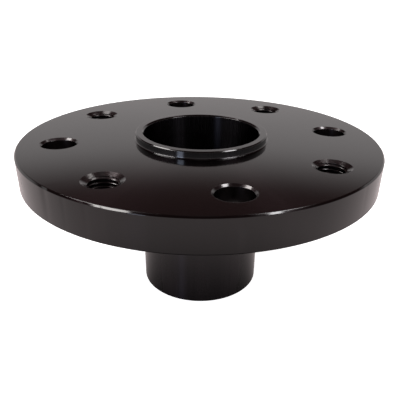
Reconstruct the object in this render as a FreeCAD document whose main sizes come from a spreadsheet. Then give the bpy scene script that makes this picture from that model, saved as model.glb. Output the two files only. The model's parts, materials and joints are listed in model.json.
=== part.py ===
import FreeCAD, Part
import math
import os

import Sketcher

# Weld neck flange, built up from a turned plate, a plain tube and a weld bead.
#
# Frame: millimetres, +Z along the bore axis out of the flange face. The origin is where
# the bore axis crosses the flange face. The pilot stands above that face and the neck
# hangs below it.

DRIVING_DIMENSIONS = {
    # plate
    "plate_diameter": 200.0,
    "plate_thickness": 17.5,
    "face_edge_chamfer": 0.8,
    "back_edge_chamfer": 0.4,
    # pilot: the raised ring that centres the mating part
    "pilot_diameter": 74.0,
    "pilot_height": 4.0,
    "pilot_edge_chamfer": 0.5,
    "pilot_root_radius": 0.8,
    # bore and neck tube
    "bore_diameter": 65.0,
    "bore_edge_chamfer": 0.8,
    "neck_diameter": 70.5,
    "neck_length": 72.0,
    "neck_end_chamfer": 0.5,
    "socket_depth": 10.0,
    # bolt circle: four clearance holes and four tapped holes, alternating
    "bolt_circle_diameter": 156.0,
    "holes_of_each_kind": 4,
    "clearance_hole_diameter": 18.0,
    "clearance_countersink_angle": 90.0,
    "tap_drill_diameter": 14.0,
    "tapped_countersink_angle": 120.0,
    "countersink_diameter": 20.2,
    "hole_back_chamfer": 0.5,
    # fillet weld between the neck tube and the back of the plate
    "weld_leg": 4.0,
    "weld_crown": 0.5,
}

doc = FreeCAD.newDocument("weld_neck_flange")


def make_dimension_sheet():
    """Put every driving dimension in its own row, with its name as the alias."""
    sheet = doc.addObject("Spreadsheet::Sheet", "Dimensions")
    for row, (alias, value) in enumerate(DRIVING_DIMENSIONS.items(), start=1):
        sheet.set(f"A{row}", alias)
        sheet.set(f"B{row}", str(value))
        sheet.setAlias(f"B{row}", alias)
    doc.recompute()
    return sheet


sheet = make_dimension_sheet()


def size(alias):
    return float(sheet.get(alias))


def bind(obj, prop, formula):
    """Bind a property to a formula whose names are aliases in the sheet."""
    for alias in sorted(DRIVING_DIMENSIONS, key=len, reverse=True):
        formula = formula.replace(f"[{alias}]", f"<<Dimensions>>.{alias}")
    obj.setExpression(prop, formula)


# ---------------------------------------------------------------- sketches and features


def make_body(label):
    body = doc.addObject("PartDesign::Body", label)
    body.Label = label
    return body


def add_sketch(body, name, plane_role, height_formula=None):
    """Sketch on one of the body's own origin planes, raised along the plane's normal."""
    plane = next(item for item in body.Origin.OriginFeatures if item.Role == plane_role)
    sketch = body.newObject("Sketcher::SketchObject", name)
    sketch.AttachmentSupport = [(plane, "")]
    sketch.MapMode = "FlatFace"
    if height_formula:
        bind(sketch, ".AttachmentOffset.Base.z", height_formula)
    return sketch


def add_circle(sketch, diameter_formula, radius_guess, offset_formula=None, offset_guess=0.0):
    """Circle on the sketch's origin, or on its horizontal axis at a distance from it."""
    centre = FreeCAD.Vector(offset_guess, 0, 0)
    normal = FreeCAD.Vector(0, 0, 1)
    circle = sketch.addGeometry(Part.Circle(centre, normal, radius_guess))
    if offset_formula:
        sketch.addConstraint(Sketcher.Constraint("PointOnObject", circle, 3, -1))
        offset = sketch.addConstraint(Sketcher.Constraint("DistanceX", -1, 1, circle, 3, offset_guess))
        bind(sketch, f"Constraints[{offset}]", offset_formula)
    else:
        sketch.addConstraint(Sketcher.Constraint("Coincident", circle, 3, -1, 1))
    diameter = sketch.addConstraint(Sketcher.Constraint("Diameter", circle, 2 * radius_guess))
    bind(sketch, f"Constraints[{diameter}]", diameter_formula)
    return circle


def add_pad(body, name, sketch, length_formula, downwards):
    pad = body.newObject("PartDesign::Pad", name)
    pad.Profile = sketch
    pad.Reversed = downwards
    bind(pad, "Length", length_formula)
    doc.recompute()
    return pad


def add_pocket(body, name, sketch, depth_formula=None):
    """Cut upwards to a depth, or right through if there is none."""
    volume_before = body.Shape.Volume
    pocket = body.newObject("PartDesign::Pocket", name)
    pocket.Profile = sketch
    if depth_formula:
        pocket.Type = "Length"
        pocket.Reversed = True
        bind(pocket, "Length", depth_formula)
    else:
        pocket.Type = "ThroughAll"
        pocket.Midplane = True
    doc.recompute()
    check_cut(body, name, volume_before)
    return pocket


def check_cut(body, name, volume_before):
    if body.Shape.Volume >= volume_before:
        raise RuntimeError(f"{name} cuts nothing")


def circular_edges(feature, radius, height, distance_from_axis=0.0):
    """Names of a feature's circular edges of one radius, height and distance from the axis."""
    names = []
    for index, edge in enumerate(feature.Shape.Edges, start=1):
        if not isinstance(edge.Curve, Part.Circle):
            continue
        centre = edge.Curve.Center
        errors = (
            edge.Curve.Radius - radius,
            centre.z - height,
            math.hypot(centre.x, centre.y) - distance_from_axis,
        )
        if all(abs(error) < 0.01 for error in errors):
            names.append(f"Edge{index}")
    return names


def dress_edges(body, kind, name, edge_names, size_formula):
    """Chamfer or fillet named edges of the body's last feature."""
    if not edge_names:
        raise RuntimeError(f"{name} found no edge")
    base = body.Tip
    feature = body.newObject(f"PartDesign::{kind}", name)
    feature.Base = (base, edge_names)
    bind(feature, "Radius" if kind == "Fillet" else "Size", size_formula)
    doc.recompute()
    return feature


def add_hole_pattern(body, name, hole_kind, countersink_kind, start_angle):
    """Countersunk through hole on the bolt circle, repeated round the axis."""
    sketch = add_sketch(body, f"{name}_centre", "XY_Plane")
    add_circle(
        sketch,
        f"[{hole_kind}_diameter]",
        size(f"{hole_kind}_diameter") / 2,
        "[bolt_circle_diameter] / 2",
        size("bolt_circle_diameter") / 2,
    )
    sketch.AttachmentOffset = FreeCAD.Placement(
        FreeCAD.Vector(0, 0, 0), FreeCAD.Rotation(FreeCAD.Vector(0, 0, 1), start_angle)
    )
    doc.recompute()

    volume_before = body.Shape.Volume
    hole = body.newObject("PartDesign::Hole", name)
    hole.Profile = sketch
    hole.DepthType = "ThroughAll"
    hole.HoleCutType = "Countersink"
    hole.HoleCutCustomValues = True
    bind(hole, "Diameter", f"[{hole_kind}_diameter]")
    bind(hole, "HoleCutDiameter", "[countersink_diameter]")
    bind(hole, "HoleCutCountersinkAngle", f"[{countersink_kind}_angle]")
    doc.recompute()
    check_cut(body, name, volume_before)

    pattern = body.newObject("PartDesign::PolarPattern", f"{name}_pattern")
    pattern.Originals = [hole]
    pattern.Axis = (sketch, ["N_Axis"])
    pattern.Angle = 360
    bind(pattern, "Occurrences", "[holes_of_each_kind]")
    body.Tip = pattern
    doc.recompute()
    return pattern


# -------------------------------------------------------------------------- sub-parts


def make_flange_plate():
    """Round plate with the pilot turned on its face and a socket for the tube in its back."""
    body = make_body("flange_plate")
    back = -size("plate_thickness")
    pilot_top = size("pilot_height")
    pilot_radius = size("pilot_diameter") / 2
    plate_radius = size("plate_diameter") / 2

    disc = add_sketch(body, "disc_outline", "XY_Plane")
    add_circle(disc, "[plate_diameter]", plate_radius)
    add_pad(body, "disc", disc, "[plate_thickness]", downwards=True)

    pilot = add_sketch(body, "pilot_outline", "XY_Plane")
    add_circle(pilot, "[pilot_diameter]", pilot_radius)
    add_pad(body, "pilot", pilot, "[pilot_height]", downwards=False)

    bore = add_sketch(body, "bore_outline", "XY_Plane")
    add_circle(bore, "[bore_diameter]", size("bore_diameter") / 2)
    add_pocket(body, "bore", bore)

    socket = add_sketch(body, "socket_outline", "XY_Plane", "-[plate_thickness]")
    add_circle(socket, "[neck_diameter]", size("neck_diameter") / 2)
    base = add_pocket(body, "socket", socket, "[socket_depth]")

    pilot_root = circular_edges(base, pilot_radius, 0)
    base = dress_edges(body, "Fillet", "pilot_root_fillet", pilot_root, "[pilot_root_radius]")
    pilot_rim = circular_edges(base, pilot_radius, pilot_top)
    base = dress_edges(body, "Chamfer", "pilot_rim_chamfer", pilot_rim, "[pilot_edge_chamfer]")
    bore_rim = circular_edges(base, size("bore_diameter") / 2, pilot_top)
    base = dress_edges(body, "Chamfer", "bore_rim_chamfer", bore_rim, "[bore_edge_chamfer]")
    face_rim = circular_edges(base, plate_radius, 0)
    base = dress_edges(body, "Chamfer", "face_rim_chamfer", face_rim, "[face_edge_chamfer]")
    back_rim = circular_edges(base, plate_radius, back)
    dress_edges(body, "Chamfer", "back_rim_chamfer", back_rim, "[back_edge_chamfer]")

    half_way_between = 180 / size("holes_of_each_kind")
    add_hole_pattern(body, "clearance_holes", "clearance_hole", "clearance_countersink", 0)
    base = add_hole_pattern(body, "tapped_holes", "tap_drill", "tapped_countersink", half_way_between)

    bolt_circle = size("bolt_circle_diameter") / 2
    back_edges = circular_edges(base, size("clearance_hole_diameter") / 2, back, bolt_circle)
    back_edges += circular_edges(base, size("tap_drill_diameter") / 2, back, bolt_circle)
    dress_edges(body, "Chamfer", "hole_back_chamfers", back_edges, "[hole_back_chamfer]")
    return body


def make_neck_tube():
    """Plain tube, seated in the plate's socket, with its free end squared for a butt weld."""
    body = make_body("neck_tube")
    section = add_sketch(body, "tube_section", "XY_Plane", "[socket_depth] - [plate_thickness]")
    add_circle(section, "[neck_diameter]", size("neck_diameter") / 2)
    add_circle(section, "[bore_diameter]", size("bore_diameter") / 2)
    base = add_pad(body, "tube", section, "[neck_length] + [socket_depth]", downwards=True)

    free_end = -(size("plate_thickness") + size("neck_length"))
    rims = circular_edges(base, size("neck_diameter") / 2, free_end)
    rims += circular_edges(base, size("bore_diameter") / 2, free_end)
    dress_edges(body, "Chamfer", "free_end_chamfers", rims, "[neck_end_chamfer]")
    return body


def make_neck_weld():
    """Fillet weld bead in the corner between the tube and the back of the plate."""
    body = make_body("neck_weld")
    section = add_sketch(body, "bead_section", "XZ_Plane")
    inner = size("neck_diameter") / 2
    back = -size("plate_thickness")
    leg = size("weld_leg")
    # the crown is an arc through the two toes and a point standing proud of the chord
    corner = FreeCAD.Vector(inner, back, 0)
    plate_toe = FreeCAD.Vector(inner + leg, back, 0)
    tube_toe = FreeCAD.Vector(inner, back - leg, 0)
    outwards = FreeCAD.Vector(1, -1, 0).normalize()
    crown = (plate_toe + tube_toe) * 0.5 + outwards * size("weld_crown")
    along_plate = section.addGeometry(Part.LineSegment(corner, plate_toe))
    along_tube = section.addGeometry(Part.LineSegment(tube_toe, corner))
    bead_face = section.addGeometry(Part.ArcOfCircle(plate_toe, crown, tube_toe))
    section.addConstraint(Sketcher.Constraint("Coincident", along_tube, 2, along_plate, 1))
    ends = {1: section.getPoint(bead_face, 1), 2: section.getPoint(bead_face, 2)}
    start = min(ends, key=lambda point: ends[point].distanceToPoint(plate_toe))
    section.addConstraint(Sketcher.Constraint("Coincident", along_plate, 2, bead_face, start))
    section.addConstraint(Sketcher.Constraint("Coincident", bead_face, 3 - start, along_tube, 1))
    section.addConstraint(Sketcher.Constraint("Horizontal", along_plate))
    section.addConstraint(Sketcher.Constraint("Vertical", along_tube))
    sized = [
        (("DistanceX", -1, 1, along_plate, 1, inner), "[neck_diameter] / 2"),
        (("DistanceY", -1, 1, along_plate, 1, back), "-[plate_thickness]"),
        (("DistanceX", along_plate, 1, along_plate, 2, leg), "[weld_leg]"),
        (("DistanceY", along_tube, 1, along_tube, 2, leg), "[weld_leg]"),
        (
            ("Radius", bead_face, crown_radius(leg, size("weld_crown"))),
            "[weld_leg] ^ 2 / (4 * [weld_crown]) + [weld_crown] / 2",
        ),
    ]
    for arguments, formula in sized:
        constraint = section.addConstraint(Sketcher.Constraint(*arguments))
        bind(section, f"Constraints[{constraint}]", formula)

    bead = body.newObject("PartDesign::Revolution", "bead")
    bead.Profile = section
    bead.ReferenceAxis = (section, ["V_Axis"])
    bead.Angle = 360
    doc.recompute()
    return body


def crown_radius(leg, crown):
    """Radius of the arc that stands `crown` proud of the chord between the two toes."""
    half_chord = leg / math.sqrt(2)
    return half_chord**2 / (2 * crown) + crown / 2


# ------------------------------------------------------------------- checks and export


def check_document(bodies):
    for obj in doc.Objects:
        if "Invalid" in obj.State or "Error" in obj.State:
            raise RuntimeError(f"{obj.Label} failed: {obj.State}")
    for body in bodies:
        shape = body.Shape
        if shape.isNull() or not shape.isValid() or len(shape.Solids) != 1:
            raise RuntimeError(f"{body.Label} isn't one valid solid")
        box = shape.optimalBoundingBox()
        print(
            f"{body.Label}: volume {shape.Volume:.1f} mm3,",
            f"x {box.XMin:.2f} to {box.XMax:.2f}, z {box.ZMin:.2f} to {box.ZMax:.2f}",
        )


def main():
    bodies = [make_flange_plate(), make_neck_tube(), make_neck_weld()]
    doc.recompute()
    check_document(bodies)
    os.makedirs("parts", exist_ok=True)
    for body in bodies:
        body.Shape.exportStep(f"parts/{body.Label}.step")


main()
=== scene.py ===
import json
import math
import random

import bmesh
import bpy
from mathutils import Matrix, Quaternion, Vector


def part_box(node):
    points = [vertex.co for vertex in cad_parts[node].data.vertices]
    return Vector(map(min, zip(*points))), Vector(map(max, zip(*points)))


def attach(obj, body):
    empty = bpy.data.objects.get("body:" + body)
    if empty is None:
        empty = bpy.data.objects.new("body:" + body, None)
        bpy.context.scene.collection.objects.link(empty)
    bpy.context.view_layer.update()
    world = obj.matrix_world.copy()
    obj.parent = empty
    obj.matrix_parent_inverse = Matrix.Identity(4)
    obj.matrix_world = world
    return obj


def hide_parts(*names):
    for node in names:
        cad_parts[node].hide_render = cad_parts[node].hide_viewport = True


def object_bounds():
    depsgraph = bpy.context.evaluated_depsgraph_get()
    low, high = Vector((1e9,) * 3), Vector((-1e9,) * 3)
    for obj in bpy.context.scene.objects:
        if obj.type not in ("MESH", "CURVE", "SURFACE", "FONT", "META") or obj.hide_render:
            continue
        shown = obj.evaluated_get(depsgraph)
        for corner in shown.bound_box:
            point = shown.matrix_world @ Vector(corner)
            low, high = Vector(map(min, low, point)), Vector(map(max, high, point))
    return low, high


# Weld neck flange in black-oxided turned steel. Metres; +Z out of the flange face. The
# bore axis is the Z axis and the flange face lies at z = 0.

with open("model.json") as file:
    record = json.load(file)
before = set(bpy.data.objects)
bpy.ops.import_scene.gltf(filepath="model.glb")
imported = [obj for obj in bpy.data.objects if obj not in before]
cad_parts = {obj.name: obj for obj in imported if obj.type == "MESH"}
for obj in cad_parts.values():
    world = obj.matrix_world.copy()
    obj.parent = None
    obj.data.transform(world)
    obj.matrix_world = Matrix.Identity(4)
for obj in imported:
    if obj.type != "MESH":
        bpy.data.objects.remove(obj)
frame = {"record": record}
CAD_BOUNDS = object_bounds()
MOUNTS = {mount["name"]: mount for mount in frame["record"]["mounts"]}
MM = 0.001

# ------------------------------------------------------------------------ dimensions

PLATE_LOW, PLATE_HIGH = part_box("flange_plate")
TUBE_LOW, TUBE_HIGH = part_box("neck_tube")
WELD_LOW, WELD_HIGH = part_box("neck_weld")

PLATE_RADIUS = PLATE_HIGH.x
PLATE_BACK = PLATE_LOW.z
PILOT_TOP = PLATE_HIGH.z
PILOT_RADIUS = MOUNTS["pilot"]["dims"]["r_mm"] * MM
BORE_RADIUS = MOUNTS["main_bore"]["dims"]["r_mm"] * MM
NECK_RADIUS = TUBE_HIGH.x
NECK_TOP = TUBE_HIGH.z
NECK_END = TUBE_LOW.z
WELD_LEG = WELD_HIGH.z - WELD_LOW.z
BOLT_CIRCLE_RADIUS = MOUNTS["clearance_holes"]["dims"]["pcd_mm"] * MM / 2
CLEARANCE_RADIUS = MOUNTS["clearance_holes"]["dims"]["hole_r_mm"] * MM
TAP_DRILL_RADIUS = MOUNTS["tapped_holes"]["dims"]["hole_r_mm"] * MM

# edge breaks, as in the solids
FACE_EDGE_CHAMFER = 0.8 * MM
BACK_EDGE_CHAMFER = 0.4 * MM
PILOT_EDGE_CHAMFER = 0.5 * MM
PILOT_ROOT_RADIUS = 0.8 * MM
BORE_EDGE_CHAMFER = 0.8 * MM
NECK_END_CHAMFER = 0.5 * MM
HOLE_BACK_CHAMFER = 0.5 * MM
COUNTERSINK_RADIUS = 10.1 * MM
TAPPED_COUNTERSINK_HALF_ANGLE = math.radians(60)

THREAD_MAJOR_RADIUS = 8.0 * MM
THREAD_PITCH = 2.0 * MM
WELD_CROWN = 0.5 * MM
WELD_RIPPLE_COUNT = 88

# dents along the plate's front edge: angle in degrees, half width and depth
RIM_NICKS = [
    (-143.5, 2.2 * MM, 0.22 * MM),
    (-136.0, 0.9 * MM, 0.12 * MM),
    (-129.0, 1.0 * MM, 0.16 * MM),
    (-124.5, 0.7 * MM, 0.06 * MM),
]
RANDOM_NICK_COUNT = 10
NICK_FADE_LENGTH = 0.7 * MM

# mesh resolution
ROUND_SEGMENTS = 640
HOLE_SEGMENTS = 72
THREAD_ROWS_PER_PITCH = 16
WELD_SEGMENTS = 720
WELD_ROWS = 12
EDGE_SOFTNESS = 0.12 * MM
SHARP_ANGLE = math.radians(28)

# --------------------------------------------------------------------- mesh building


def arc(centre, radius, start, end, steps):
    """Points on an arc in the (radius, z) plane, both ends included, angles in degrees."""
    points = []
    for step in range(steps + 1):
        angle = math.radians(start + (end - start) * step / steps)
        points.append((centre[0] + radius * math.cos(angle), centre[1] + radius * math.sin(angle)))
    return points


def soften(outline, softness=EDGE_SOFTNESS, steps=3):
    """Round each corner a little, with a support point on each side to keep the flats flat."""
    softened = [outline[0]]
    for before, corner, after in zip(outline, outline[1:], outline[2:]):
        corner = Vector(corner)
        to_before = Vector(before) - corner
        to_after = Vector(after) - corner
        cut = min(softness, to_before.length * 0.3, to_after.length * 0.3)
        start = corner + to_before.normalized() * cut
        end = corner + to_after.normalized() * cut
        softened.append(tuple(corner + to_before.normalized() * cut * 1.5))
        for step in range(steps + 1):
            share = step / steps
            point = start * (1 - share) ** 2 + corner * 2 * share * (1 - share) + end * share**2
            softened.append(tuple(point))
        softened.append(tuple(corner + to_after.normalized() * cut * 1.5))
    softened.append(outline[-1])
    return softened


def add_ring(bm, radius, z, segments, centre=(0.0, 0.0)):
    ring = []
    for step in range(segments):
        angle = math.tau * step / segments
        x = centre[0] + radius * math.cos(angle)
        y = centre[1] + radius * math.sin(angle)
        ring.append(bm.verts.new((x, y, z)))
    return ring


def add_band(bm, upper, lower, slot=0):
    """Quads from each ring of vertices to the next."""
    for step in range(len(upper)):
        following = (step + 1) % len(upper)
        face = bm.faces.new([upper[step], upper[following], lower[following], lower[step]])
        face.material_index = slot


def add_lathe(bm, outline, segments, centre=(0.0, 0.0), slot=0):
    """Turn an outline of (radius, z) points round a vertical axis. Returns its end rings."""
    rings = [add_ring(bm, radius, z, segments, centre) for radius, z in outline]
    for upper, lower in zip(rings, rings[1:]):
        add_band(bm, upper, lower, slot)
    return rings[0], rings[-1]


def fill_between(bm, rings, slot):
    """Flat face between an outer ring and the rings of its holes."""
    edges = []
    for ring in rings:
        for step, vert in enumerate(ring):
            edges.append(bm.edges.get((vert, ring[(step + 1) % len(ring)])))
    made = bmesh.ops.triangle_fill(bm, use_beauty=True, edges=edges)
    for item in made["geom"]:
        if isinstance(item, bmesh.types.BMFace):
            item.material_index = slot


def finish_piece(bm, name, materials, node):
    """Make the scene object that stands for a CAD node, smooth except at real edges."""
    bmesh.ops.recalc_face_normals(bm, faces=bm.faces)
    for face in bm.faces:
        face.smooth = True
    for edge in bm.edges:
        if edge.calc_face_angle(0.0) > SHARP_ANGLE:
            edge.smooth = False
    mesh = bpy.data.meshes.new(name)
    bm.to_mesh(mesh)
    bm.free()
    for material in materials:
        mesh.materials.append(material)
    piece = bpy.data.objects.new(name, mesh)
    bpy.context.scene.collection.objects.link(piece)
    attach(piece, "root")
    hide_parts(node)
    return piece


# -------------------------------------------------------------------------- materials

# sizes of the patterns in the finish
TOOL_MARK_SIZE = 0.9 * MM
MOTTLE_SIZE = 24 * MM
SMEAR_SIZE = 5 * MM
# the rays' pattern is laid over a circle of radius 1, so this has no unit
RAY_SIZE = 0.06
# part of the noise's range that makes the rays, and how dark and light it turns the metal
RAY_NOISE_RANGE = (0.35, 0.65)
RAY_BRIGHTNESS_RANGE = (0.85, 1.2)
# heights of the tool marks in the metal and in the oil over them
METAL_GROOVE_HEIGHT = 0.006 * MM
OIL_GROOVE_HEIGHT = 0.002 * MM
# keeps the metal under the oil from turning white at grazing angles
METAL_GRAZING_TINT = (0.06, 0.045, 0.047, 1)
OIL_IOR = 1.5


def add_node(tree, kind, **settings):
    node = tree.nodes.new(kind)
    for key, value in settings.items():
        setattr(node, key, value)
    return node


def math_node(tree, operation, *values):
    node = add_node(tree, "ShaderNodeMath", operation=operation)
    for socket, value in zip(node.inputs, values):
        if isinstance(value, (int, float)):
            socket.default_value = value
        else:
            tree.links.new(value, socket)
    return node.outputs[0]


def noise(tree, vector, size, detail):
    node = add_node(tree, "ShaderNodeTexNoise")
    node.inputs["Scale"].default_value = 1 / size
    node.inputs["Detail"].default_value = detail
    tree.links.new(vector, node.inputs["Vector"])
    return node.outputs["Fac"]


def ramp(tree, factor, stops):
    """Colour ramp from (position, colour) stops; a colour may be one grey number."""
    node = add_node(tree, "ShaderNodeValToRGB")
    elements = node.color_ramp.elements
    while len(elements) < len(stops):
        elements.new(0.5)
    for element, (position, value) in zip(elements, stops):
        element.position = position
        colour = value if isinstance(value, tuple) else (value, value, value)
        element.color = (*colour, 1)
    tree.links.new(factor, node.inputs[0])
    return node.outputs[0]


def spread(tree, factor, low, high):
    """Turn a 0 to 1 factor into a number from low to high."""
    return math_node(tree, "MULTIPLY_ADD", factor, high - low, low)


def bump(tree, height, distance, strength):
    node = add_node(tree, "ShaderNodeBump")
    node.inputs["Strength"].default_value = strength
    node.inputs["Distance"].default_value = distance
    tree.links.new(height, node.inputs["Height"])
    return node.outputs[0]


def black_oxide(name, tint, roughness, coat_roughness, anisotropy):
    """Oiled black oxide on turned steel.

    A dark metal layer spreads light across the circular tool marks, and the thin clear
    film of oil on top of it mirrors the surroundings.
    """
    material = bpy.data.materials.new(name)
    material.use_nodes = True
    tree = material.node_tree
    shader = tree.nodes["Principled BSDF"]
    place = add_node(tree, "ShaderNodeTexCoord").outputs["Object"]
    axes = add_node(tree, "ShaderNodeSeparateXYZ")
    tree.links.new(place, axes.inputs[0])
    x, y, z = axes.outputs
    x_squared = math_node(tree, "MULTIPLY", x, x)
    y_squared = math_node(tree, "MULTIPLY", y, y)
    radius = math_node(tree, "SQRT", math_node(tree, "ADD", x_squared, y_squared))

    # tool marks change only with the radius and the height
    across = add_node(tree, "ShaderNodeCombineXYZ")
    tree.links.new(radius, across.inputs[0])
    tree.links.new(z, across.inputs[2])
    marks = noise(tree, across.outputs[0], TOOL_MARK_SIZE, 3)
    mottle = noise(tree, place, MOTTLE_SIZE, 5)
    smears = noise(tree, place, SMEAR_SIZE, 3)

    # faint rays that run across the tool marks: they change only with the angle
    outward = add_node(tree, "ShaderNodeVectorMath", operation="NORMALIZE")
    flat = add_node(tree, "ShaderNodeCombineXYZ")
    tree.links.new(x, flat.inputs[0])
    tree.links.new(y, flat.inputs[1])
    tree.links.new(flat.outputs[0], outward.inputs[0])
    rays = noise(tree, outward.outputs[0], RAY_SIZE, 3)

    colour = ramp(tree, mottle, [
        (0.30, tuple(0.8 * channel for channel in tint)),
        (0.70, tuple(1.2 * channel for channel in tint)),
    ])
    streaked = add_node(tree, "ShaderNodeVectorMath", operation="SCALE")
    tree.links.new(colour, streaked.inputs[0])
    contrast = add_node(tree, "ShaderNodeMapRange", interpolation_type="SMOOTHSTEP")
    for socket, value in zip(contrast.inputs[1:5], RAY_NOISE_RANGE + RAY_BRIGHTNESS_RANGE):
        socket.default_value = value
    tree.links.new(rays, contrast.inputs[0])
    tree.links.new(contrast.outputs[0], streaked.inputs["Scale"])
    tree.links.new(streaked.outputs[0], shader.inputs["Base Color"])
    # mostly tool marks, with some smears
    uneven = math_node(tree, "ADD", math_node(tree, "MULTIPLY", marks, 0.7),
                       math_node(tree, "MULTIPLY", smears, 0.3))
    roughness_here = spread(tree, uneven, roughness * 0.8, roughness * 1.2)
    tree.links.new(roughness_here, shader.inputs["Roughness"])
    grooves = bump(tree, marks, METAL_GROOVE_HEIGHT, 0.35)
    tree.links.new(grooves, shader.inputs["Normal"])
    film = bump(tree, marks, OIL_GROOVE_HEIGHT, 0.25)
    tree.links.new(film, shader.inputs["Coat Normal"])

    tangent = add_node(tree, "ShaderNodeTangent", direction_type="RADIAL", axis="Z")
    tree.links.new(tangent.outputs[0], shader.inputs["Tangent"])
    shader.inputs["Anisotropic"].default_value = anisotropy
    shader.inputs["Anisotropic Rotation"].default_value = 0.25
    shader.inputs["Metallic"].default_value = 1.0
    shader.inputs["Specular Tint"].default_value = METAL_GRAZING_TINT
    shader.inputs["Coat Weight"].default_value = 1.0
    shader.inputs["Coat IOR"].default_value = OIL_IOR
    shader.inputs["Coat Roughness"].default_value = coat_roughness
    return material


# ----------------------------------------------------------------------------- pieces


def hole_centres(first_angle):
    for quarter in range(4):
        angle = math.radians(first_angle + 90 * quarter)
        yield BOLT_CIRCLE_RADIUS * math.cos(angle), BOLT_CIRCLE_RADIUS * math.sin(angle)


def thread_radius(turn, z):
    """Wall radius of the tapped hole, `turn` pitches along its thread and at height z."""
    # 60 degree flanks between a narrow root and a flat crest at the tap drill's radius
    from_root = abs((turn + 0.5) % 1.0 - 0.5) - 1 / 16
    wall = THREAD_MAJOR_RADIUS - max(0.0, from_root) * THREAD_PITCH * math.sqrt(3)
    front_cone = COUNTERSINK_RADIUS + z * math.tan(TAPPED_COUNTERSINK_HALF_ANGLE)
    back_cone = TAP_DRILL_RADIUS + HOLE_BACK_CHAMFER - (z - PLATE_BACK)
    return max(wall, TAP_DRILL_RADIUS, front_cone, back_cone)


def add_tapped_hole(bm, centre, slot):
    """Wall with a right-hand thread. Its rows of vertices climb with the thread."""
    mouth = add_ring(bm, COUNTERSINK_RADIUS, 0, HOLE_SEGMENTS, centre)
    back = add_ring(bm, TAP_DRILL_RADIUS + HOLE_BACK_CHAMFER, PLATE_BACK, HOLE_SEGMENTS, centre)
    turns = math.ceil(-PLATE_BACK / THREAD_PITCH) + 1
    last_row = turns * THREAD_ROWS_PER_PITCH
    grid = {}
    for row in range(last_row + 1):
        for step in range(HOLE_SEGMENTS + 1):
            turn = row / THREAD_ROWS_PER_PITCH
            z = (step / HOLE_SEGMENTS - turn) * THREAD_PITCH
            if step == HOLE_SEGMENTS:
                grid[row, step] = grid.get((row - THREAD_ROWS_PER_PITCH, 0), mouth[0])
            elif z >= 0:
                grid[row, step] = mouth[step]
            elif z <= PLATE_BACK:
                grid[row, step] = back[step]
            else:
                angle = math.tau * step / HOLE_SEGMENTS
                radius = thread_radius(turn, z)
                x = centre[0] + radius * math.cos(angle)
                y = centre[1] + radius * math.sin(angle)
                grid[row, step] = bm.verts.new((x, y, z))
    for row in range(last_row):
        for step in range(HOLE_SEGMENTS):
            around = [(row, step), (row, step + 1), (row + 1, step + 1), (row + 1, step)]
            # rows that end at the mouth or at the back share vertices
            corners = list(dict.fromkeys(grid[place] for place in around))
            if len(corners) > 2:
                bm.faces.new(corners).material_index = slot
    return mouth, back


def add_clearance_hole(bm, centre, slot):
    outline = soften([
        (COUNTERSINK_RADIUS + 2 * EDGE_SOFTNESS, 0.0),
        (COUNTERSINK_RADIUS, 0.0),
        (CLEARANCE_RADIUS, CLEARANCE_RADIUS - COUNTERSINK_RADIUS),
        (CLEARANCE_RADIUS, PLATE_BACK + HOLE_BACK_CHAMFER),
        (CLEARANCE_RADIUS + HOLE_BACK_CHAMFER, PLATE_BACK),
        (CLEARANCE_RADIUS + HOLE_BACK_CHAMFER + 2 * EDGE_SOFTNESS, PLATE_BACK),
    ])
    return add_lathe(bm, outline, HOLE_SEGMENTS, centre, slot)


def nick_rim(bm):
    """Small dents from handling along the front edge of the plate."""
    dice = random.Random(5)
    nicks = list(RIM_NICKS)
    for _ in range(RANDOM_NICK_COUNT):
        degrees = dice.uniform(-100, 200)
        width = dice.uniform(0.6, 1.6) * MM
        depth = dice.uniform(0.04, 0.10) * MM
        nicks.append((degrees, width, depth))
    for vert in bm.verts:
        if vert.co.z < -3 * FACE_EDGE_CHAMFER:
            continue
        angle = math.atan2(vert.co.y, vert.co.x)
        for degrees, width, depth in nicks:
            along = math.remainder(angle - math.radians(degrees), math.tau) * PLATE_RADIUS
            # deepest at the lower edge of the chamfer, and gone within 1.5 mm of it
            away = (vert.co.xy.length - PLATE_RADIUS, vert.co.z + FACE_EDGE_CHAMFER)
            reach = math.exp(-(math.hypot(*away) / NICK_FADE_LENGTH) ** 2 - (along / width) ** 2)
            inward = depth * reach
            if inward > 0.001 * MM:
                vert.co.xy *= 1 - inward / PLATE_RADIUS
                vert.co.z -= inward * 0.6


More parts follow.
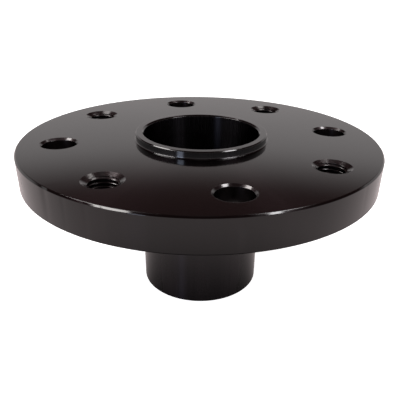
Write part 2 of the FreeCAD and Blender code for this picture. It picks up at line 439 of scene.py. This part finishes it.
def make_flange_plate(turned, drilled, bored):
    bm = bmesh.new()
    rim = soften([
        (PLATE_RADIUS - 2 * FACE_EDGE_CHAMFER, 0.0),
        (PLATE_RADIUS - FACE_EDGE_CHAMFER, 0.0),
        (PLATE_RADIUS, -FACE_EDGE_CHAMFER),
        (PLATE_RADIUS, PLATE_BACK + BACK_EDGE_CHAMFER),
        (PLATE_RADIUS - BACK_EDGE_CHAMFER, PLATE_BACK),
        (PLATE_RADIUS - 2 * FACE_EDGE_CHAMFER, PLATE_BACK),
    ])
    root_centre = (PILOT_RADIUS + PILOT_ROOT_RADIUS, PILOT_ROOT_RADIUS)
    root = arc(root_centre, PILOT_ROOT_RADIUS, 270, 180, 8)
    spigot = soften([
        (PILOT_RADIUS, PILOT_ROOT_RADIUS),
        (PILOT_RADIUS, PILOT_TOP - PILOT_EDGE_CHAMFER),
        (PILOT_RADIUS - PILOT_EDGE_CHAMFER, PILOT_TOP),
        (BORE_RADIUS + BORE_EDGE_CHAMFER, PILOT_TOP),
        (BORE_RADIUS, PILOT_TOP - BORE_EDGE_CHAMFER),
        (BORE_RADIUS, NECK_TOP),
        (NECK_RADIUS, NECK_TOP),
        (NECK_RADIUS, PLATE_BACK),
        (NECK_RADIUS + 2 * EDGE_SOFTNESS, PLATE_BACK),
    ])
    foot = (PILOT_RADIUS + PILOT_ROOT_RADIUS + 3 * EDGE_SOFTNESS, 0.0)
    inside = [foot, *root, *spigot[1:]]
    rim_rings = add_lathe(bm, rim, ROUND_SEGMENTS)
    nick_rim(bm)
    ring_pairs = [rim_rings, add_lathe(bm, inside, ROUND_SEGMENTS)]
    ring_pairs += [add_clearance_hole(bm, centre, 1) for centre in hole_centres(0)]
    ring_pairs += [add_tapped_hole(bm, centre, 1) for centre in hole_centres(45)]
    fill_between(bm, [front for front, back in ring_pairs], 0)
    fill_between(bm, [back for front, back in ring_pairs], 0)
    for face in bm.faces:
        in_bore = all(vert.co.xy.length < BORE_RADIUS + 0.5 * EDGE_SOFTNESS for vert in face.verts)
        on_pilot = all(vert.co.z > 0 and vert.co.xy.length > PILOT_RADIUS - 1e-6 for vert in face.verts)
        if in_bore or on_pilot:
            face.material_index = 2
    materials = [turned, drilled, bored]
    return finish_piece(bm, "flange_plate_turned", materials, "flange_plate")


def make_neck_tube(drawn, bored):
    bm = bmesh.new()
    outline = soften([
        (BORE_RADIUS, NECK_TOP),
        (NECK_RADIUS, NECK_TOP),
        (NECK_RADIUS, NECK_END + NECK_END_CHAMFER),
        (NECK_RADIUS - NECK_END_CHAMFER, NECK_END),
        (BORE_RADIUS + NECK_END_CHAMFER, NECK_END),
        (BORE_RADIUS, NECK_END + NECK_END_CHAMFER),
        (BORE_RADIUS, NECK_TOP),
    ])
    first, last = add_lathe(bm, outline, ROUND_SEGMENTS)
    bmesh.ops.remove_doubles(bm, verts=first + last, dist=1e-7)
    for face in bm.faces:
        if all(vert.co.xy.length < BORE_RADIUS + 0.5 * EDGE_SOFTNESS for vert in face.verts):
            face.material_index = 1
    return finish_piece(bm, "neck_tube_drawn", [drawn, bored], "neck_tube")


def make_weld_bead(material):
    """Fillet bead with overlapping ripples along its run."""
    bm = bmesh.new()
    corner = add_ring(bm, NECK_RADIUS, PLATE_BACK, WELD_SEGMENTS)
    previous = corner
    for row in range(WELD_ROWS + 1):
        share = row / WELD_ROWS
        ring = []
        for step in range(WELD_SEGMENTS):
            angle = math.tau * step / WELD_SEGMENTS
            # each ripple is a shallow crescent whose middle lags behind its ends
            lag = 0.45 * math.sin(math.pi * share)
            phase = (angle / math.tau * WELD_RIPPLE_COUNT + lag) % 1.0
            ripple = math.sin(math.pi * phase) ** 0.7
            proud = math.sin(math.pi * share) * WELD_CROWN * (0.45 + 0.5 * ripple)
            radius = NECK_RADIUS + WELD_LEG * share + proud * math.sqrt(0.5)
            z = PLATE_BACK - WELD_LEG * (1 - share) - proud * math.sqrt(0.5)
            ring.append(bm.verts.new((radius * math.cos(angle), radius * math.sin(angle), z)))
        add_band(bm, previous, ring)
        previous = ring
    add_band(bm, previous, corner)
    return finish_piece(bm, "neck_weld_bead", [material], "neck_weld")


# ----------------------------------------------------------------------------- camera

# the camera stands on the side of one clearance hole, a little to its left
CAMERA_AZIMUTH = -10.77
CAMERA_ELEVATION = 17.52
CAMERA_DISTANCE_IN_RADII = 2.733
CAMERA_PITCH = -28.06
CAMERA_YAW = 1.71
CAMERA_ROLL = 1.35
FOCAL_LENGTH = 42.43
CAMERA_SHIFT = (-0.0325, 0.0625)


def direction(azimuth, elevation):
    """Unit vector. Azimuth runs clockwise from the camera's line of sight, in degrees."""
    turn = math.radians(azimuth - CAMERA_AZIMUTH)
    rise = math.radians(elevation)
    return Vector((math.sin(turn) * math.cos(rise), math.cos(turn) * math.cos(rise), math.sin(rise)))


def make_camera():
    camera_data = bpy.data.cameras.new("camera")
    camera_data.lens = FOCAL_LENGTH
    camera_data.shift_x, camera_data.shift_y = CAMERA_SHIFT
    camera_data.clip_start = 0.01
    camera = bpy.data.objects.new("camera", camera_data)
    camera.location = direction(180, CAMERA_ELEVATION) * CAMERA_DISTANCE_IN_RADII * PLATE_RADIUS
    roll = Quaternion((0, 0, 1), math.radians(CAMERA_ROLL))
    camera.rotation_mode = "QUATERNION"
    aim = direction(CAMERA_YAW, CAMERA_PITCH)
    camera.rotation_quaternion = aim.to_track_quat("-Z", "Y") @ roll
    bpy.context.scene.collection.objects.link(camera)
    bpy.context.scene.camera = camera


# ----------------------------------------------------------------------------- studio

# Apart from the lights, what the metal mirrors is the same all round: a pale wall, a dim
# room above it, a pale ceiling overhead, and a pale ground that is dark straight below.
# Colours are radiances, and each pair of elevations in degrees is where one surface fades
# to the next.
WALL = (0.7, 0.66, 0.66)
UPPER_ROOM = (0.09, 0.05, 0.05)
CEILING = (0.5, 0.5, 0.5)
GROUND = (0.8, 0.7, 0.7)
SHADED_GROUND = (0.01, 0.01, 0.01)
WHITE = (1.0, 1.0, 1.0)
SHADED_GROUND_TO_GROUND = (-38, -27)
GROUND_TO_WALL = (-1, 1)
WALL_TO_UPPER_ROOM = (18, 24)
UPPER_ROOM_TO_CEILING = (78, 86)
FLOOR_HALF_SIZE = 4.0
# name, azimuth, elevation, distance, width, height, radiance and colour of each light,
# with angles in degrees
SOFTBOXES = [
    ("softbox_left", -99, 48, 0.9, 0.60, 0.20, 13, (1.0, 0.97, 0.95)),
    ("softbox_right", 114, 54, 0.9, 0.32, 0.19, 17, (1.0, 0.99, 1.0)),
    ("ceiling_left", -48, 60, 0.9, 0.28, 0.28, 4.5, (1.0, 0.97, 0.95)),
    ("ceiling_right", 48, 60, 0.9, 0.28, 0.28, 4.5, (1.0, 0.97, 0.95)),
    ("window", -145, 16, 1.2, 0.2, 0.4, 10, (0.7, 0.8, 1.0)),
]


def make_floor():
    half = FLOOR_HALF_SIZE
    z = CAD_BOUNDS[0].z
    corners = [(-half, -half, z), (half, -half, z), (half, half, z), (-half, half, z)]
    mesh = bpy.data.meshes.new("studio_floor")
    mesh.from_pydata(corners, [], [(0, 1, 2, 3)])
    floor = bpy.data.objects.new("studio_floor", mesh)
    bpy.context.scene.collection.objects.link(floor)
    material = bpy.data.materials.new("pale_floor")
    material.use_nodes = True
    tree = material.node_tree
    shader = tree.nodes["Principled BSDF"]
    place = add_node(tree, "ShaderNodeTexCoord").outputs["Object"]
    grain = ramp(tree, noise(tree, place, 3 * MM, 4), [(0.3, 0.78), (0.7, 0.84)])
    tree.links.new(grain, shader.inputs["Base Color"])
    shader.inputs["Roughness"].default_value = 0.9
    # it gives off white light itself, so no shadow shows and the grain hardly does
    shader.inputs["Emission Color"].default_value = (1, 1, 1, 1)
    shader.inputs["Emission Strength"].default_value = 1.0
    mesh.materials.append(material)
    # the metal mirrors the studio's surroundings instead, which include the ground
    floor.visible_glossy = False


def add_softbox(name, azimuth, elevation, distance, width, height, radiance, colour):
    light = bpy.data.lights.new(name, "AREA")
    light.shape = "RECTANGLE"
    light.size = width
    light.size_y = height
    light.energy = radiance * math.pi * width * height
    light.color = colour
    softbox = bpy.data.objects.new(name, light)
    towards = direction(azimuth, elevation)
    softbox.location = towards * distance
    softbox.rotation_euler = towards.to_track_quat("Z", "Y").to_euler()
    bpy.context.scene.collection.objects.link(softbox)


def make_surroundings():
    """World lighting for the metal to mirror, by elevation only."""
    world = bpy.data.worlds.new("studio")
    world.use_nodes = True
    bpy.context.scene.world = world
    tree = world.node_tree
    ray = add_node(tree, "ShaderNodeTexCoord").outputs["Generated"]
    axes = add_node(tree, "ShaderNodeSeparateXYZ")
    tree.links.new(ray, axes.inputs[0])
    rise = math_node(tree, "ARCSINE", axes.outputs["Z"])
    elevation = math_node(tree, "MULTIPLY", rise, math.degrees(1))

    def fade(low, high):
        node = add_node(tree, "ShaderNodeMapRange", interpolation_type="SMOOTHSTEP")
        tree.links.new(elevation, node.inputs["Value"])
        node.inputs["From Min"].default_value = low
        node.inputs["From Max"].default_value = high
        return node.outputs[0]

    def mix(share, first, second):
        node = add_node(tree, "ShaderNodeMixRGB")
        for socket, source in zip(node.inputs, (share, first, second)):
            if isinstance(source, tuple):
                socket.default_value = (*source, 1)
            else:
                tree.links.new(source, socket)
        return node.outputs[0]

    around = mix(fade(*SHADED_GROUND_TO_GROUND), SHADED_GROUND, GROUND)
    around = mix(fade(*GROUND_TO_WALL), around, WALL)
    around = mix(fade(*WALL_TO_UPPER_ROOM), around, UPPER_ROOM)
    around = mix(fade(*UPPER_ROOM_TO_CEILING), around, CEILING)
    # seen directly, the surroundings are as white as the floor
    seen = add_node(tree, "ShaderNodeLightPath").outputs["Is Camera Ray"]
    around = mix(seen, around, WHITE)
    tree.links.new(around, tree.nodes["Background"].inputs["Color"])


def main():
    # tint, roughness, roughness of the oil film and anisotropy of each surface
    turned = black_oxide("turned_black_oxide", (0.0045, 0.0032, 0.0036), 0.34, 0.09, 1.0)
    drilled = black_oxide("drilled_black_oxide", (0.022, 0.017, 0.018), 0.36, 0.16, 0.6)
    bored = black_oxide("bored_black_oxide", (0.013, 0.012, 0.014), 0.30, 0.10, 1.0)
    drawn = black_oxide("drawn_black_oxide", (0.012, 0.010, 0.012), 0.36, 0.12, 1.0)
    welded = black_oxide("welded_black_oxide", (0.02, 0.016, 0.016), 0.45, 0.3, 0.0)
    make_flange_plate(turned, drilled, bored)
    make_neck_tube(drawn, bored)
    make_weld_bead(welded)
    make_camera()
    make_floor()
    make_surroundings()
    for softbox in SOFTBOXES:
        add_softbox(*softbox)
    bpy.context.scene.view_settings.view_transform = "Standard"


main()
